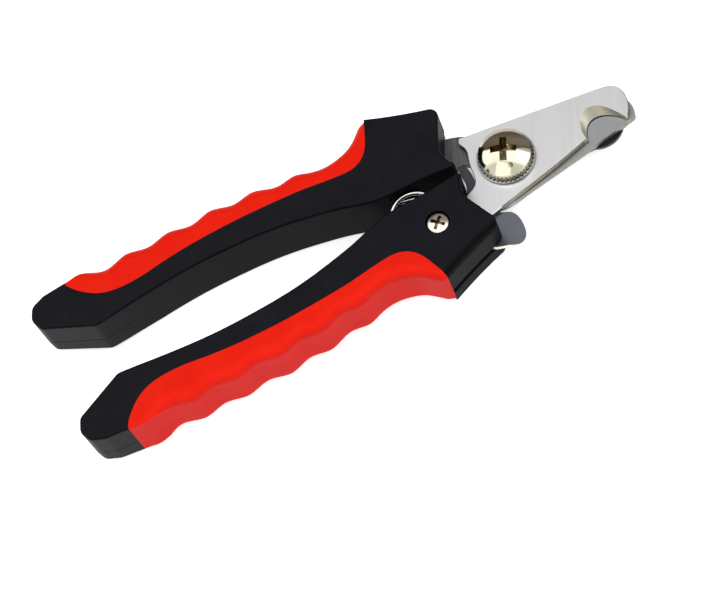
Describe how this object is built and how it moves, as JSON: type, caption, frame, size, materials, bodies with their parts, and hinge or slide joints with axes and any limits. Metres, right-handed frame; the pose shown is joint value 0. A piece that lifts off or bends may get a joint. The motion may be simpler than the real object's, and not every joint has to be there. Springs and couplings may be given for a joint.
{
  "type": "pet nail trimmer",
  "caption": "Scissor-type pet nail trimmer with notched blades, soft-grip handles, torsion spring, lock lever and swinging guard plate, closed.",
  "frame": {"origin": "centre of the footprint, on the surface the tool lies on (the handles' rear faces)", "axes": "+X from the handle ends to the blade tips, +Y toward the upper handle, +Z out of the front face"},
  "size_m": [0.1594, 0.05, 0.0161],
  "materials": {
    "blade_steel": "fine brushed stainless steel, ground bevels",
    "guard_steel": "dark blackened sheet steel, satin",
    "lever_steel": "bluish grey tumbled steel",
    "black_plastic": "fine textured black plastic",
    "red_grip": "satin red soft-touch rubber",
    "nickel": "bright nickel plating",
    "spring_steel": "bright spring wire"
  },
  "bodies": {
    "lower_handle": {"lower_handle_rear_shell": "black_plastic", "lower_handle_front_shell": "black_plastic", "lower_handle_grip": "red_grip", "front_blade": "blade_steel", "lower_tang_dowel": "nickel", "lower_handle_screw": "nickel", "lever_washer": "nickel", "torsion_spring": "spring_steel", "pivot_bolt": "nickel", "pivot_flat_washer": "nickel", "pivot_tooth_washer": "nickel", "pivot_rear_washer": "nickel", "pivot_nut": "nickel"},
    "upper_handle": {"upper_handle_rear_shell": "black_plastic", "upper_handle_front_shell": "black_plastic", "upper_handle_grip": "red_grip", "rear_blade": "blade_steel", "upper_tang_dowel": "nickel", "upper_handle_screw": "nickel"},
    "lock_lever": {"lock_lever": "lever_steel"},
    "guard": {"guard_plate": "guard_steel"}
  },
  "joints": [
    {"name": "handle_pivot", "type": "hinge", "parent": "lower_handle", "child": "upper_handle", "pos_m": [0.04544, 0.0004, 0.0065], "axis": [0, 0, -1], "range_deg": [0, 20], "deforming": ["torsion_spring"]},
    {"name": "lock_lever_pivot", "type": "hinge", "parent": "lower_handle", "child": "lock_lever", "pos_m": [0.02218, -0.011, 0.00565], "axis": [0, 0, -1], "range_deg": [0, 10]},
    {"name": "guard_swing", "type": "hinge", "parent": "lower_handle", "child": "guard", "pos_m": [0.04544, 0.0004, 0.004], "axis": [0, 0, -1], "range_deg": [0, 35]}
  ]
}
